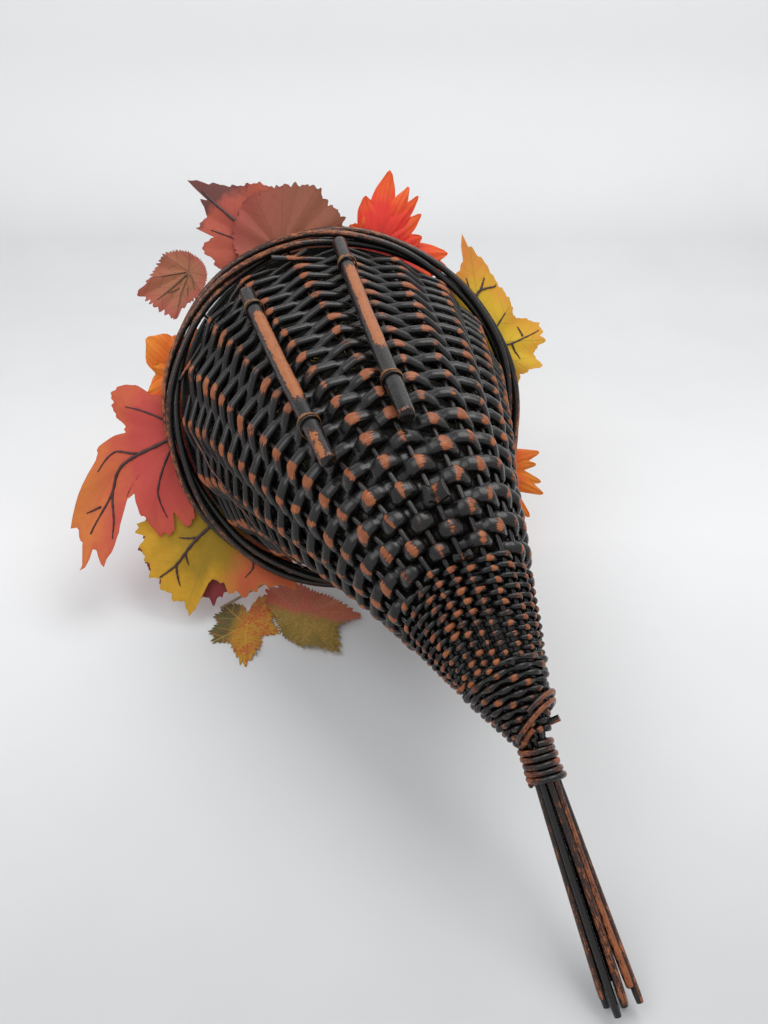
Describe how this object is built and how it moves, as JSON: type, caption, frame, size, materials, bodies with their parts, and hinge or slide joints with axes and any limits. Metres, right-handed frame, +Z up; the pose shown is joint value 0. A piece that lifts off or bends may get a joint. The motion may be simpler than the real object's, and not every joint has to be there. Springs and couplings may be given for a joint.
{
  "type": "cornucopia basket",
  "caption": "Woven willow horn basket with a slanted oval mouth, two foot rods, a cane-bound tail of sticks and a wreath of cloth leaves and flowers round the mouth.",
  "frame": {"origin": "middle of the overall bounding box in X and Y, at the lowest point, which is the table the basket lies on", "axes": "+Z up; +Y along the horn, from the tail's tips to the mouth, the longest extent; the foot rods are on top, as the basket lies feet up and rolled about ten degrees"},
  "size_m": [0.2988, 0.4076, 0.2018],
  "materials": {
    "lacquered_willow": "near-black lacquer, rubbed brown on the bends",
    "cane": "thin brown cane, dark stained in places",
    "ring_cane": "plain brown rod, matt",
    "stem_wire": "wrapped wire stem, matt",
    "rust_cloth": "printed cloth, brown red",
    "red_cloth": "printed cloth, red",
    "wine_cloth": "printed cloth, dark red",
    "coral_cloth": "printed cloth, coral with dark veins",
    "amber_cloth": "printed cloth, yellow to orange with dark veins",
    "orange_cloth": "cloth petals, orange",
    "scarlet_cloth": "cloth petals, scarlet to orange",
    "olive_cloth": "cloth with fine glitter, olive brown"
  },
  "bodies": {
    "root": {"border_rod_1": "lacquered_willow", "border_rod_2": "lacquered_willow", "border_rod_3": "lacquered_willow", "border_rod_4": "lacquered_willow", "collar_binding": "cane", "collar_lash": "cane", "cut_rod_end": "lacquered_willow", "flower_left": "orange_cloth", "flower_low": "orange_cloth", "flower_right": "orange_cloth", "flower_top": "scarlet_cloth", "foot_left": "lacquered_willow", "foot_right": "lacquered_willow", "leaf_left_grape": "wine_cloth", "leaf_left_maple": "coral_cloth", "leaf_low_maple": "amber_cloth", "leaf_low_red": "wine_cloth", "leaf_right_maple": "amber_cloth", "leaf_small_left": "olive_cloth", "leaf_small_right": "olive_cloth", "leaf_top_grape": "rust_cloth", "leaf_top_maple": "red_cloth", "loose_strand": "cane", "stake_extra_1": "lacquered_willow", "stake_extra_10": "lacquered_willow", "stake_extra_2": "lacquered_willow", "stake_extra_3": "lacquered_willow", "stake_extra_4": "lacquered_willow", "stake_extra_5": "lacquered_willow", "stake_extra_6": "lacquered_willow", "stake_extra_7": "lacquered_willow", "stake_extra_8": "lacquered_willow", "stake_extra_9": "lacquered_willow", "stake_main_1": "lacquered_willow", "stake_main_2": "lacquered_willow", "stake_main_3": "lacquered_willow", "stake_main_4": "lacquered_willow", "stake_main_5": "lacquered_willow", "stake_main_6": "lacquered_willow", "stake_main_7": "lacquered_willow", "stake_main_8": "lacquered_willow", "stake_main_9": "lacquered_willow", "stem_flower_low": "stem_wire", "stem_small_leaves": "stem_wire", "tie_foot_left_1": "cane", "tie_foot_left_2": "cane", "tie_foot_right_1": "cane", "tie_foot_right_2": "cane", "weaver_broad": "lacquered_willow", "weaver_fine_1": "lacquered_willow", "weaver_fine_2": "lacquered_willow", "weaver_wide_1": "lacquered_willow", "weaver_wide_2": "lacquered_willow", "weaver_wide_3": "lacquered_willow", "weaver_wide_4": "lacquered_willow", "weaver_wide_5": "lacquered_willow", "wreath_ring": "ring_cane"}
  },
  "joints": []
}
